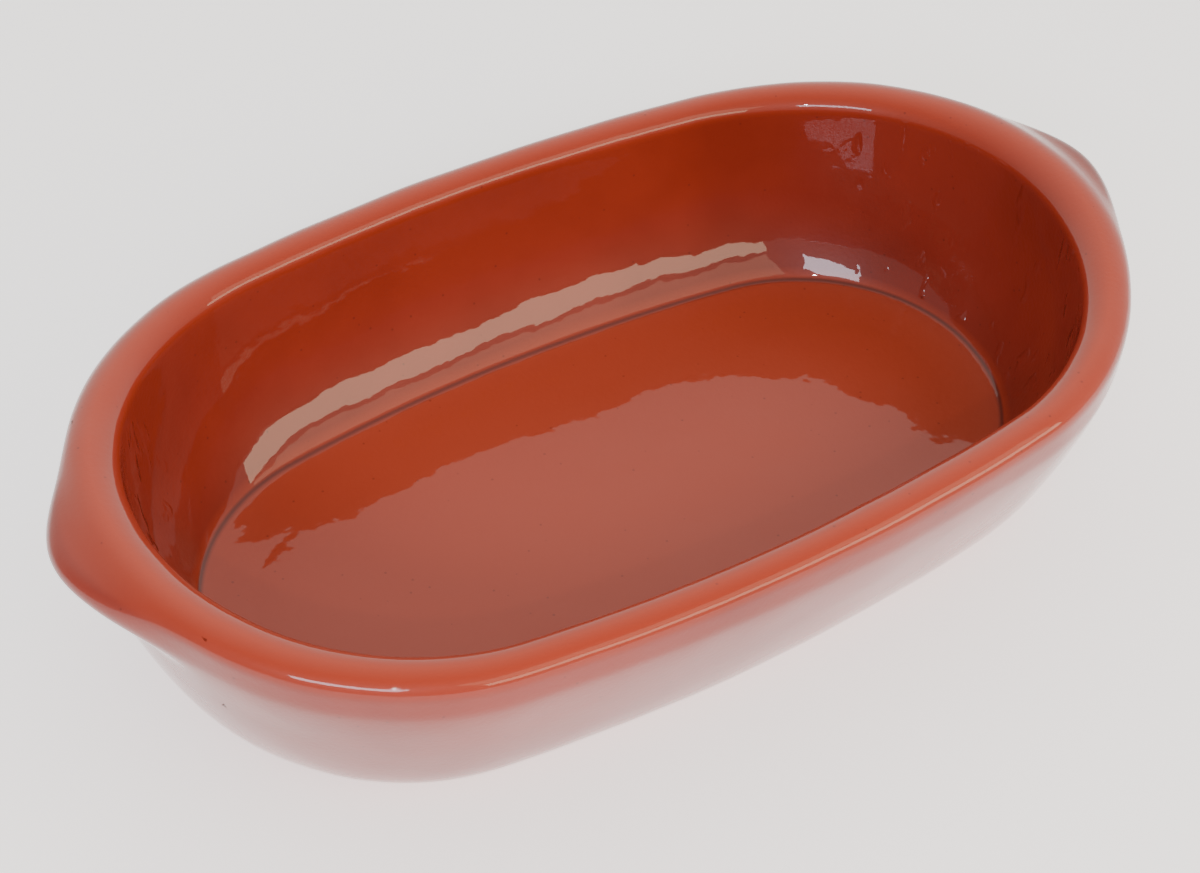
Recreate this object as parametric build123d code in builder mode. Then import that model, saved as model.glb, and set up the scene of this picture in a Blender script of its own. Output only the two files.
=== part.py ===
from build123d import *
from math import acos, atan2, degrees, sqrt
import os

# An oblong terracotta oven dish, open at the top. The body is pressed in one mould and
# a small lug is luted on under the rim at each end before it is glazed and fired.
# Frame: the origin is on the resting plane under the middle of the dish, +X runs along
# the dish, +Y across it and +Z is up. Millimetres.

# Rim seen from above: an oval of four tangent arcs
rim_length = 240.0
rim_width = 145.0
rim_side_radius = 425.0

# Top line of the rim: level along the sides, rising to the ends
side_height = 51.0
end_rise = 6.5
level_run = 108.0

# Wall thickness at the rim, along the sides and at the ends
side_wall = 9.6
end_wall = 11.8
rim_round = 4.3

# The walls stand upright in a band below the rim, and curve in under it
brim_depth = 9.0

# Flat floor inside: its edge is this far in from the rim's outer edge
floor_thickness = 5.5
floor_side_inset = 23.5
floor_end_inset = 21.5

# Resting face underneath, before its edge is rounded, in from the rim's outer edge
foot_side_inset = 18.5
foot_end_inset = 18.0
foot_round = 4.0

# End lugs
lug_reach = 7.0
lug_span = 62.0
lug_drop = 3.4
lug_thickness = 10.0
lug_round = 4.5
hollow_depth = 1.2
hollow_inset = 8.0
hollow_radius = 6.0

# How far cutting tools run past the clay
overrun = 4.0

# Share of the way in from the rim to the foot, at each share of the height
OUTSIDE = ((0.0, 1.0), (0.13, 0.68), (0.36, 0.44), (0.66, 0.2), (1.0, 0.0))
# Share of the way in from the mouth to the floor's edge, at each share of the depth
INSIDE = ((0.0, 1.0), (0.12, 0.69), (0.3, 0.4), (0.6, 0.15), (1.0, 0.0))


def end_arc_radius(side_inset, end_inset):
    """Radius of the end arcs that run in line into the side arcs."""
    a = rim_length / 2 - end_inset
    b = rim_width / 2 - side_inset
    side_radius = rim_side_radius - side_inset
    return (2 * side_radius * b - a * a - b * b) / (2 * (side_radius - a))


def oval(side_inset, end_inset):
    """Draw the rim's outer oval moved in by one inset at its sides and one at its ends."""
    b = rim_width / 2 - side_inset
    side_radius = rim_side_radius - side_inset
    end_radius = end_arc_radius(side_inset, end_inset)
    end_centre = rim_length / 2 - end_inset - end_radius
    turn = degrees(atan2(side_radius - b, end_centre))
    with BuildSketch() as outline:
        with BuildLine():
            CenterArc((end_centre, 0), end_radius, -turn, 2 * turn)
            CenterArc((0, b - side_radius), side_radius, turn, 180 - 2 * turn)
            CenterArc((-end_centre, 0), end_radius, 180 - turn, 2 * turn)
            CenterArc((0, side_radius - b), side_radius, 180 + turn, 180 - 2 * turn)
        make_face()
    return outline.sketch


def between(outer, inner, share):
    """Mix two pairs of insets."""
    return [o + (i - o) * share for o, i in zip(outer, inner)]


# Insets at the sides and at the ends
rim_edge = (0.0, 0.0)
mouth_edge = (side_wall, end_wall)
floor_edge = (floor_side_inset, floor_end_inset)
foot_edge = (foot_side_inset, foot_end_inset)
brim_level = side_height - brim_depth
form_top = side_height + end_rise + overrun

# Outside form: the plaster mould's shape, from the foot up past the rim
with BuildPart() as outside_form:
    for height_share, inset_share in OUTSIDE:
        with BuildSketch(Plane.XY.offset(brim_level * height_share)):
            add(oval(*between(rim_edge, foot_edge, inset_share)))
    loft()
    extrude(outside_form.faces().sort_by(Axis.Z)[-1], amount=form_top - brim_level)

# Dish body: the form hollowed out, trimmed along the rim's top line and rounded
with BuildPart() as dish_body:
    add(outside_form.part)
    for height_share, inset_share in INSIDE:
        level = floor_thickness + (brim_level - floor_thickness) * height_share
        with BuildSketch(Plane.XY.offset(level)):
            add(oval(*between(mouth_edge, floor_edge, inset_share)))
    loft(mode=Mode.SUBTRACT)
    with BuildSketch(Plane.XY.offset(brim_level)):
        add(oval(*mouth_edge))
    extrude(amount=form_top - brim_level, mode=Mode.SUBTRACT)

    rise_run = (rim_length - level_run) / 2
    rise_radius = (rise_run**2 + end_rise**2) / (2 * end_rise)
    rise_turn = degrees(acos(1 - (end_rise + overrun) / rise_radius))
    with BuildSketch(Plane.XZ):
        with BuildLine():
            rise_centre = (level_run / 2, side_height + rise_radius)
            right_rise = CenterArc(rise_centre, rise_radius, 270, rise_turn)
            left_rise = mirror(right_rise, about=Plane.YZ, mode=Mode.ADD)
            Line((-level_run / 2, side_height), (level_run / 2, side_height))
            tip = right_rise @ 1
            Line(tip, (tip.X, form_top + overrun))
            Line((tip.X, form_top + overrun), (-tip.X, form_top + overrun))
            Line((-tip.X, form_top + overrun), (-tip.X, tip.Y))
        make_face()
    extrude(amount=rim_width, both=True, mode=Mode.SUBTRACT)

    # Both edges of the rim are rounded over until they nearly meet
    rim_faces = dish_body.faces().filter_by(
        lambda f: f.center().Z > brim_level and f.normal_at().Z > 0.9
    )
    rim_edges = rim_faces.edges().filter_by(lambda e: e.length > 2 * side_wall)
    fillet(rim_edges, radius=min(rim_round, 0.45 * side_wall))
    fillet(dish_body.faces().sort_by(Axis.Z)[0].edges(), radius=foot_round)
dish_body.part.label = "dish_body"

os.makedirs("parts", exist_ok=True)
export_step(dish_body.part, "parts/dish_body.step")

# Handles: a thumb-wide lug at each end, a disc's edge left standing out from the wall
end_radius = end_arc_radius(*rim_edge)
half_span = lug_span / 2
lug_rise = lug_reach + end_radius - sqrt(end_radius**2 - half_span**2)
lug_radius = (half_span**2 + lug_rise**2) / (2 * lug_rise)
lug_centre = rim_length / 2 + lug_reach - lug_radius
lug_top = side_height + end_rise - lug_drop
hollow_path = lug_radius - hollow_inset
for name, side in (("right_handle", 1), ("left_handle", -1)):
    with BuildPart() as handle:
        with BuildSketch(Plane.XY.offset(lug_top - lug_thickness)):
            with Locations((side * lug_centre, 0)):
                Circle(lug_radius)
        extrude(amount=lug_thickness)
        fillet(handle.edges().filter_by(GeomType.CIRCLE), radius=lug_round)
        with BuildSketch(Plane.XZ):
            with Locations((side * (lug_centre + hollow_path), lug_top + hollow_radius - hollow_depth)):
                Circle(hollow_radius)
        revolve(axis=Axis((side * lug_centre, 0, 0), (0, 0, 1)), mode=Mode.SUBTRACT)
        add(outside_form.part, mode=Mode.SUBTRACT)
    handle.part.label = name
    export_step(handle.part, f"parts/{name}.step")
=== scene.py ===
from math import atan2, cos, pi, radians, sin

import bmesh
import bpy
from mathutils import Matrix, Vector


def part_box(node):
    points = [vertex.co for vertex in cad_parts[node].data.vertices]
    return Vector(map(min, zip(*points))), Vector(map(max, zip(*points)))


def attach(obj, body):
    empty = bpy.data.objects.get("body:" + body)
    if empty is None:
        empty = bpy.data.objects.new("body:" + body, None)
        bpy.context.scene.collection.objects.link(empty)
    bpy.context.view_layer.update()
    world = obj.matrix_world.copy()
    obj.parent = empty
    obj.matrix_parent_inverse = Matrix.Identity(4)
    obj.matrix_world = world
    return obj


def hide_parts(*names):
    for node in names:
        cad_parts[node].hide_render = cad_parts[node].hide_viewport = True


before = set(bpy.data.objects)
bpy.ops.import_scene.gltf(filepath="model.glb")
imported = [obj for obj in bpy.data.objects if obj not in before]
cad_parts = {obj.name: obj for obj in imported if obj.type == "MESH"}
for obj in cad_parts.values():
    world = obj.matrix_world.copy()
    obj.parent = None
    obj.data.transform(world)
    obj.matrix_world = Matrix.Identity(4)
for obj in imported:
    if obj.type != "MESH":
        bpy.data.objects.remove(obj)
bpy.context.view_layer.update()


# Dish body: one wall of red earthenware, pressed in an oblong mould with a thick brim
# rolled round by a wet hand. Laid up here as ovals, one for each level of the wall, from
# the floor inside, up over the rim, and down the outside to the foot.
_, top_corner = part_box("dish_body")
half_length, half_width = top_corner.x, top_corner.y
rim_side_radius = 0.425
end_steps, side_steps = 72, 40
floor_level, brim_level, side_height, rim_round = 0.0055, 0.042, 0.051, 0.0043

# Insets from the rim's outer edge, at the sides and at the ends
rim_edge, mouth_edge = (0.0, 0.0), (0.0096, 0.0118)
floor_edge, foot_edge = (0.0235, 0.0215), (0.0185, 0.0180)


def between(outer, inner, share):
    """Mix two pairs of insets."""
    return [o + (i - o) * share for o, i in zip(outer, inner)]


def lay_oval(name, side_inset, end_inset, level):
    """Spin a point round the centres of the oval's four arcs, as a loop of its own."""
    a, b = half_length - end_inset, half_width - side_inset
    side_arc = rim_side_radius - side_inset
    end_arc = (2 * side_arc * b - a * a - b * b) / (2 * (side_arc - a))
    centre = a - end_arc
    turn = atan2(side_arc - b, centre)
    bpy.ops.mesh.primitive_plane_add(size=0.001)
    loop = bpy.context.object
    bpy.ops.object.mode_set(mode="EDIT")
    bpy.ops.mesh.merge(type="CENTER")
    start = (centre + end_arc * cos(turn), -end_arc * sin(turn), level)
    bpy.ops.transform.translate(value=start)
    for x, y, swing, steps in (
        (centre, 0, 2 * turn, end_steps),
        (0, b - side_arc, pi - 2 * turn, side_steps),
        (-centre, 0, 2 * turn, end_steps),
        (0, side_arc - b, pi - 2 * turn, side_steps),
    ):
        bpy.ops.mesh.spin(steps=steps, angle=-swing, center=(x, y, level), axis=(0, 0, 1))
    bpy.ops.mesh.select_all(action="SELECT")
    bpy.ops.mesh.remove_doubles(threshold=0.00005)
    bpy.ops.object.vertex_group_add()
    loop.vertex_groups.active.name = name
    bpy.ops.object.vertex_group_assign()
    bpy.ops.object.mode_set(mode="OBJECT")
    return loop


def select_rings(*numbers):
    bpy.ops.mesh.select_all(action="DESELECT")
    for number in numbers:
        dish.vertex_groups.active_index = dish.vertex_groups[f"ring_{number}"].index
        bpy.ops.object.vertex_group_select()


# Every ring of the wall: its two insets and its height. The floor sags a little in its middle
wall_rings = []
for share, dip in ((2.1, 0.0012), (1.7, 0.0010), (1.35, 0.00065), (1.13, 0.0003), (1.0, 0.0)):
    wall_rings.append((*between(mouth_edge, floor_edge, share), floor_level - dip))
for share_up in (
    0.02, 0.045, 0.075, 0.11, 0.15, 0.195, 0.245, 0.30, 0.365, 0.44, 0.53, 0.63, 0.75, 0.87, 1.0,
):
    still_down = 1 - share_up
    inward = 0.85 * still_down**2.9 + 0.15 * still_down
    level = floor_level + (brim_level - floor_level) * share_up
    wall_rings.append((*between(mouth_edge, floor_edge, inward), level))
rim_arc_steps = 12
for step in range(rim_arc_steps + 1):
    degrees_round = 180 - step * 180 / rim_arc_steps
    across = (1 - cos(radians(degrees_round))) / 2
    level = side_height - rim_round * (1 - sin(radians(degrees_round)))
    wall_rings.append((*between(rim_edge, mouth_edge, across), level))
rim_crest = len(wall_rings) - 1 - rim_arc_steps // 2
for level_mm in (45.4, 44.1, 42.8):
    wall_rings.append((*rim_edge, level_mm / 1000))
for level_mm in (
    41.5, 40.2, 38.9, 37.6, 36.2, 34.5, 32.0, 28.5, 24.5, 20.0, 15.5, 11.0, 7.5, 4.5, 2.2, 0.8, 0.0,
):
    still_up = 1 - level_mm / 1000 / brim_level
    inward = 0.74 * still_up**1.2 + 0.26 * still_up**9
    wall_rings.append((*between(rim_edge, foot_edge, inward), level_mm / 1000))
for share, hollow in ((1.08, 0.0001), (1.4, 0.0003)):
    wall_rings.append((*between(rim_edge, foot_edge, share), hollow))

loops = [lay_oval(f"ring_{number}", *ring) for number, ring in enumerate(wall_rings)]
bpy.ops.object.select_all(action="DESELECT")
for loop in loops:
    loop.select_set(True)
bpy.context.view_layer.objects.active = dish = loops[0]
bpy.ops.object.join()
dish.name = "baking_dish"
bpy.ops.object.mode_set(mode="EDIT")
for number in range(1, len(wall_rings)):
    select_rings(number - 1, number)
    bpy.ops.mesh.bridge_edge_loops()

# The flat floor and the underside close the two ends of the stack: each is a grid of clay
# with its corners a given number of steps round from the tips
end_span = 32
corner_turn = radians(163.4) / end_steps * end_span / 2
for number in (0, len(wall_rings) - 1):
    select_rings(number)
    clay_mesh = bmesh.from_edit_mesh(dish.data)
    rim_points = [vertex for vertex in clay_mesh.verts if vertex.select]
    corner = max(rim_points, key=lambda v: v.co.x * cos(corner_turn) + v.co.y * sin(corner_turn))
    clay_mesh.select_history.clear()
    clay_mesh.select_history.add(corner)
    bpy.ops.mesh.fill_grid(span=end_span, offset=0)
bpy.ops.mesh.select_all(action="SELECT")
bpy.ops.mesh.normals_make_consistent(inside=False)
bpy.ops.object.mode_set(mode="OBJECT")

# Where the glaze runs thin over the brim, and the crease along the floor's edge that is darkened with
# painted shade
floor_crease = 4
glaze_marks = (
    ("thin_glaze", {rim_crest + step: 1 - abs(step) / 7 for step in range(-5, 6)}),
    ("crease_shade", {floor_crease: 1.0}),
    ("running_glaze", {number: 1.0 for number in range(floor_crease + 3, rim_crest - 5)}),
)
for mark, rings in glaze_marks:
    bpy.ops.geometry.attribute_add(name=mark, domain="POINT", data_type="FLOAT")
    bpy.ops.object.mode_set(mode="EDIT")
    for number, amount in rings.items():
        select_rings(number)
        bpy.ops.mesh.attribute_set(value_float=amount)
    bpy.ops.object.mode_set(mode="OBJECT")

# The brim rises towards both ends, and the walls stretch up to meet it
level_run, end_rise = 0.108, 0.0065
rise_radius = (half_length - level_run / 2) ** 2 / (2 * end_rise)
bpy.ops.object.add(type="LATTICE", location=(0, 0, (floor_level + side_height) / 2))
brim_lift = bpy.context.object
brim_lift.scale = (2 * half_length, 2 * half_width, side_height - floor_level)
brim_lift.data.points_u, brim_lift.data.points_v, brim_lift.data.points_w = 17, 2, 2
brim_lift.data.interpolation_type_u = "KEY_CATMULL_ROM"
for point in brim_lift.data.points:
    if point.co.z > 0:
        along = max(abs(point.co.x) * 2 * half_length - level_run / 2, 0)
        point.co_deform.z += along**2 / (2 * rise_radius) / brim_lift.scale.z
bpy.context.view_layer.objects.active = dish
lift = dish.modifiers.new("brim_lift", "LATTICE")
lift.object = brim_lift
bpy.ops.object.modifier_apply(modifier=lift.name)
bpy.data.objects.remove(brim_lift)


# Glazed terracotta: iron-red clay, a shade mottled by the fire, under a thick clear glaze
# that runs thin and orange over the brim, with painted shade along the floor's crease and painted light on
# the floor
def add_node(tree, kind, links=(), **settings):
    """Add a node, set its inputs by name or its properties, and link what feeds it."""
    node = tree.nodes.new(f"ShaderNode{kind}")
    for name, value in settings.items():
        label = name.replace("_", " ").title().replace("Ior", "IOR")
        if hasattr(node, name):
            setattr(node, name, value)
        else:
            node.inputs[label].default_value = value
    for source, socket in links:
        tree.links.new(source, node.inputs[socket])
    return node


def make_fired_clay_group():
    """Mottled clay colour and a fine grain, from the piece's own coordinates."""
    group = bpy.data.node_groups.new("fired_clay", "ShaderNodeTree")
    for name, kind in (
        ("Deep", "Color"), ("Bright", "Color"), ("Patch Scale", "Float"), ("Grain Scale", "Float"),
    ):
        group.interface.new_socket(name, in_out="INPUT", socket_type=f"NodeSocket{kind}")
    for name, kind in (("Colour", "Color"), ("Grain", "Float")):
        group.interface.new_socket(name, in_out="OUTPUT", socket_type=f"NodeSocket{kind}")
    given = group.nodes.new("NodeGroupInput").outputs
    place = add_node(group, "TexCoord").outputs["Object"]
    patches = add_node(
        group, "TexNoise", [(place, "Vector"), (given["Patch Scale"], "Scale")], detail=3.0, roughness=0.55
    )
    spread = add_node(group, "MapRange", [(patches.outputs["Fac"], "Value")], from_min=0.36, from_max=0.64)
    colour = add_node(group, "Mix", data_type="RGBA")
    group.links.new(spread.outputs["Result"], colour.inputs["Factor"])
    group.links.new(given["Deep"], colour.inputs[6])
    group.links.new(given["Bright"], colour.inputs[7])
    grain = add_node(
        group, "TexNoise", [(place, "Vector"), (given["Grain Scale"], "Scale")], detail=2.0, roughness=0.6
    )
    made = group.nodes.new("NodeGroupOutput")
    group.links.new(colour.outputs[2], made.inputs["Colour"])
    group.links.new(grain.outputs["Fac"], made.inputs["Grain"])
    return group


fired_clay = make_fired_clay_group()


def place_clay(tree, deep, bright, patch_scale, grain_scale):
    clay = tree.nodes.new("ShaderNodeGroup")
    clay.node_tree = fired_clay
    clay.inputs["Deep"].default_value = (*deep, 1)
    clay.inputs["Bright"].default_value = (*bright, 1)
    clay.inputs["Patch Scale"].default_value = patch_scale
    clay.inputs["Grain Scale"].default_value = grain_scale
    return clay


def tint(tree, amount, colour, shade):
    """Mix a colour socket toward a fixed shade by an amount socket."""
    mixed = add_node(tree, "Mix", data_type="RGBA")
    tree.links.new(amount, mixed.inputs["Factor"])
    tree.links.new(colour, mixed.inputs[6])
    mixed.inputs[7].default_value = (*shade, 1)
    return mixed.outputs[2]


glazed_terracotta = bpy.data.materials.new("glazed_clay")
glazed_terracotta.use_nodes = True
tree = glazed_terracotta.node_tree
glaze = tree.nodes["Principled BSDF"]
clay = place_clay(tree, (0.19, 0.019, 0.010), (0.24, 0.026, 0.0135), 22.0, 900.0)
place = add_node(tree, "TexCoord").outputs["Object"]

# Thin and orange over the brim
thin = add_node(tree, "Attribute", attribute_name="thin_glaze")
colour = tint(tree, thin.outputs["Fac"], clay.outputs["Colour"], (0.37, 0.036, 0.009))

# Painted light: a shade lighter low down, on the floor and round the foot, standing in for the light the
# floor gets from above
part = add_node(tree, "SeparateXYZ", [(place, "Vector")])
painted_floor_light = add_node(
    tree, "MapRange", [(part.outputs["Z"], "Value")],
    from_min=0.0050, from_max=0.0080, to_min=1.0, to_max=0.0,
)
colour = tint(tree, painted_floor_light.outputs["Result"], colour, (0.36, 0.044, 0.016))

# Painted shade: dark along the crease at the floor's edge
crease_shade_input = add_node(tree, "Attribute", attribute_name="crease_shade")
painted_crease_shade = add_node(
    tree, "MapRange", [(crease_shade_input.outputs["Fac"], "Value")], from_min=0.3, from_max=0.9, to_max=0.7
)
colour = tint(tree, painted_crease_shade.outputs["Result"], colour, (0.04, 0.004, 0.003))

# Iron specks and pinholes
speck_cells = add_node(tree, "TexVoronoi", [(place, "Vector")], scale=240.0)
speck = add_node(
    tree, "MapRange", [(speck_cells.outputs["Distance"], "Value")],
    from_min=0.05, from_max=0.09, to_min=0.4, to_max=0.0,
)
colour = tint(tree, speck.outputs["Result"], colour, (0.05, 0.008, 0.005))
tree.links.new(colour, glaze.inputs["Base Color"])

# The clay under the glaze is matt and grainy; the glaze over it is smooth, with a slow ripple
grain = add_node(tree, "Bump", [(clay.outputs["Grain"], "Height")], strength=0.25, distance=0.0002)
tree.links.new(grain.outputs["Normal"], glaze.inputs["Normal"])
ripple = add_node(tree, "TexNoise", [(place, "Vector")], scale=95.0, detail=2.5, roughness=0.5)
flow = add_node(tree, "Bump", [(ripple.outputs["Fac"], "Height")], strength=0.35, distance=0.0004)

# Small runs and beads of glaze down the end walls
along = add_node(tree, "Math", [(part.outputs["X"], 0)], operation="ABSOLUTE")
near_end = add_node(tree, "MapRange", [(along.outputs[0], "Value")], from_min=0.088, from_max=0.100)
drawn_down = add_node(tree, "Mapping", [(place, "Vector")])
drawn_down.inputs["Scale"].default_value = (1, 1, 0.45)
beads = add_node(tree, "TexNoise", [(drawn_down.outputs["Vector"], "Vector")], scale=210.0, detail=1.5)
sparse = add_node(tree, "MapRange", [(beads.outputs["Fac"], "Value")], from_min=0.60, from_max=0.74)
inside = add_node(tree, "Attribute", attribute_name="running_glaze")
there = add_node(
    tree, "Math", [(inside.outputs["Fac"], 0), (near_end.outputs["Result"], 1)], operation="MULTIPLY"
)
runs = add_node(
    tree, "Math", [(sparse.outputs["Result"], 0), (there.outputs[0], 1)], operation="MULTIPLY"
)
beaded = add_node(
    tree, "Bump", [(runs.outputs[0], "Height"), (flow.outputs["Normal"], "Normal")],
    strength=0.7, distance=0.0009,
)
tree.links.new(beaded.outputs["Normal"], glaze.inputs["Coat Normal"])
glaze.inputs["Roughness"].default_value = 0.42
glaze.inputs["Specular IOR Level"].default_value = 0.15
glaze.inputs["Coat Weight"].default_value = 1.0
glaze.inputs["Coat Roughness"].default_value = 0.025
glaze.inputs["Coat IOR"].default_value = 1.38

# Bare clay: the foot is wiped clean before firing, so that it does not stick to the kiln
bare_terracotta = bpy.data.materials.new("bare_clay")
bare_terracotta.use_nodes = True
tree = bare_terracotta.node_tree
biscuit = tree.nodes["Principled BSDF"]
clay = place_clay(tree, (0.36, 0.105, 0.045), (0.46, 0.16, 0.075), 60.0, 1400.0)
tree.links.new(clay.outputs["Colour"], biscuit.inputs["Base Color"])
pores = add_node(tree, "Bump", [(clay.outputs["Grain"], "Height")], strength=0.6, distance=0.0004)
tree.links.new(pores.outputs["Normal"], biscuit.inputs["Normal"])
biscuit.inputs["Roughness"].default_value = 0.88


# Lugs: a thumb-wide ledge of clay luted under the brim at each end, its top smoothed into
# the rim and its lip rolled over. Each is drawn out of the wall ring by ring, and then
# becomes a piece of its own.
lug_first_ring = rim_crest + 4
lug_pulls = (
    (1.1, -0.2), (2.3, 0.3), (3.8, 1.4), (5.3, 2.3), (6.4, 2.7), (6.9, 2.6),
    (6.5, 2.5), (5.2, 2.7), (3.3, 3.1), (1.5, 3.3), (0.5, 2.8), (0.2, 1.9), (0.0, 0.7),
)
lug_sides = ((1, 0.040, "right_lug"), (-1, 0.034, "left_lug"))
for material in (glazed_terracotta, bare_terracotta):
    dish.data.materials.append(material)
for side, spread, name in lug_sides:
    dish.data.materials.append(bpy.data.materials.new(name))
bpy.ops.object.mode_set(mode="EDIT")
for side, spread, name in lug_sides:
    for step, (outward, upward) in enumerate(lug_pulls):
        bpy.ops.mesh.reveal(select=False)
        select_rings(lug_first_ring + step)
        bpy.ops.mesh.hide(unselected=True)
        clay_mesh = bmesh.from_edit_mesh(dish.data)
        for vertex in clay_mesh.verts:
            vertex.select = not vertex.hide and vertex.co.x * side > 0 and abs(vertex.co.y) < 0.0001
        clay_mesh.select_flush_mode()
        bpy.ops.transform.translate(
            value=(side * outward / 1000, 0, upward / 1000),
            use_proportional_edit=True,
            proportional_edit_falloff="SMOOTH",
            proportional_size=spread,
        )
    # The lug's own faces, marked to be parted from the wall
    bpy.ops.mesh.reveal(select=False)
    select_rings(*range(lug_first_ring - 1, lug_first_ring + len(lug_pulls) + 1))
    clay_mesh = bmesh.from_edit_mesh(dish.data)
    for vertex in clay_mesh.verts:
        vertex.select = vertex.select and vertex.co.x * side > 0 and abs(vertex.co.y) < spread
    clay_mesh.select_flush_mode()
    dish.active_material_index = dish.data.materials.find(name)
    bpy.ops.object.material_slot_assign()

bpy.ops.object.mode_set(mode="OBJECT")

# Smoothed, and left a little uneven as hand-finished clay is, but for the face it stands on
soften = dish.modifiers.new("soften", "SUBSURF")
soften.levels = soften.render_levels = 1
bpy.ops.object.modifier_apply(modifier=soften.name)
uneven_clay = bpy.data.textures.new("uneven_clay", "CLOUDS")
uneven_clay.noise_scale = 0.045
upper_clay = dish.vertex_groups.new(name="upper_clay")
upper_clay.add([v.index for v in dish.data.vertices if v.co.z > 0.003], 1.0, "REPLACE")
unevenness = dish.modifiers.new("unevenness", "DISPLACE")
unevenness.texture, unevenness.texture_coords = uneven_clay, "LOCAL"
unevenness.strength, unevenness.mid_level = 0.0009, 0.75
unevenness.vertex_group = upper_clay.name
bpy.ops.object.modifier_apply(modifier=unevenness.name)
bpy.ops.object.shade_smooth()

# The lugs part from the body along a line that the glaze hides, so both keep its shading
skin = dish.data.attributes.new("skin_normal", "FLOAT_VECTOR", "POINT")
for vertex, stored in zip(dish.data.vertices, skin.data):
    stored.vector = vertex.normal
bpy.ops.object.mode_set(mode="EDIT")
bpy.ops.mesh.separate(type="MATERIAL")
bpy.ops.object.mode_set(mode="OBJECT")
nodes_of = {"right_lug": "right_handle", "left_lug": "left_handle", "glazed_clay": "dish_body"}
for piece in [dish, *(lug for lug in bpy.context.selected_objects if lug != dish)]:
    part_name = piece.data.materials[0].name
    bpy.context.view_layer.objects.active = piece
    bpy.ops.object.mode_set(mode="EDIT")
    bpy.ops.mesh.select_all(action="SELECT")
    bpy.ops.mesh.fill_holes(sides=0)
    bpy.ops.mesh.select_all(action="DESELECT")
    clay_mesh = bmesh.from_edit_mesh(piece.data)
    for face in clay_mesh.faces:
        face.select_set(len(face.verts) > 4)
    bpy.ops.mesh.quads_convert_to_tris(quad_method="BEAUTY", ngon_method="BEAUTY")
    bpy.ops.mesh.select_all(action="SELECT")
    bpy.ops.mesh.normals_make_consistent(inside=False)
    bpy.ops.object.mode_set(mode="OBJECT")
    skin = piece.data.attributes["skin_normal"]
    piece.data.normals_split_custom_set_from_vertices([stored.vector for stored in skin.data])
    piece.data.attributes.remove(skin)
    piece.vertex_groups.clear()
    piece.name = "pressed_dish" if part_name == "glazed_clay" else part_name
    piece.data.materials.clear()
    piece.data.materials.append(glazed_terracotta)
    piece.data.materials.append(bare_terracotta)
    for face in piece.data.polygons:
        face.material_index = 1 if face.center.z < 0.0004 and face.normal.z < -0.9 else 0
    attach(piece, "root")
    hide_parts(nodes_of[part_name])

# Table and studio: a white card under the dish and a bright, even white room round it
bpy.ops.mesh.primitive_plane_add(size=6.0, location=(0, 0, 0))
table = bpy.context.object
table.name = "table"
white_card = bpy.data.materials.new("white_card")
white_card.use_nodes = True
card = white_card.node_tree.nodes["Principled BSDF"]
card.inputs["Base Color"].default_value = (0.9, 0.9, 0.9, 1)
card.inputs["Roughness"].default_value = 0.8
card.inputs["Emission Color"].default_value = (1, 1, 1, 1)
card.inputs["Emission Strength"].default_value = 0.9
table.data.materials.append(white_card)

studio = bpy.data.worlds.new("studio")
bpy.context.scene.world = studio
studio.use_nodes = True
tree = studio.node_tree
room = tree.nodes["Background"]
room.inputs["Color"].default_value = (1.0, 0.955, 0.90, 1)
facing = add_node(tree, "TexCoord").outputs["Generated"]
toward_backdrop = add_node(tree, "VectorMath", [(facing, 0)], operation="DOT_PRODUCT")
toward_backdrop.inputs[1].default_value = (0.45, 0.75, 0.1)
bright = add_node(
    tree, "MapRange", [(toward_backdrop.outputs["Value"], "Value")],
    from_min=-0.1, from_max=0.6, to_min=0.62, to_max=1.6,
)
tree.links.new(bright.outputs["Result"], room.inputs["Strength"])


def hang_light(name, bearing, height_angle, distance, size, power, colour):
    """An area light aimed at the dish, from a bearing clockwise of +Y and a height angle."""
    away = Vector((sin(radians(bearing)), cos(radians(bearing)), 0)) * cos(radians(height_angle))
    away.z = sin(radians(height_angle))
    bpy.ops.object.light_add(type="AREA", location=away * distance)
    light = bpy.context.object
    light.name = name
    light.rotation_euler = away.to_track_quat("Z", "Y").to_euler()
    light.data.shape = "RECTANGLE"
    light.data.size, light.data.size_y = size
    light.data.energy = power
    light.data.color = colour


hang_light("warm_strip", 158, 23, 1.2, (1.3, 0.26), 8.5, (1.0, 0.80, 0.56))
hang_light("cool_window", -136, 33, 1.2, (0.58, 0.21), 6.8, (0.90, 0.88, 1.0))
hang_light("warm_bounce", 158, 40, 1.2, (1.2, 0.34), 3.2, (1.0, 0.72, 0.5))
hang_light("camera_lamp", -149, 42, 0.8, (0.02, 0.012), 0.6, (0.93, 0.90, 1.0))

# Camera
azimuth, elevation, roll = radians(-32.0), radians(44.9), radians(0.98)
aim = Vector((-0.0055, -0.0007, 0.025))
back = Vector((sin(azimuth) * cos(elevation), -cos(azimuth) * cos(elevation), sin(elevation)))
camera = bpy.data.objects.new("camera", bpy.data.cameras.new("camera"))
bpy.context.collection.objects.link(camera)
camera.location = aim + back * 0.4627
tilt = Matrix.Rotation(roll, 3, "Z").to_quaternion()
camera.rotation_euler = (back.to_track_quat("Z", "Y") @ tilt).to_euler()
camera.data.lens = 63.3
bpy.context.scene.camera = camera
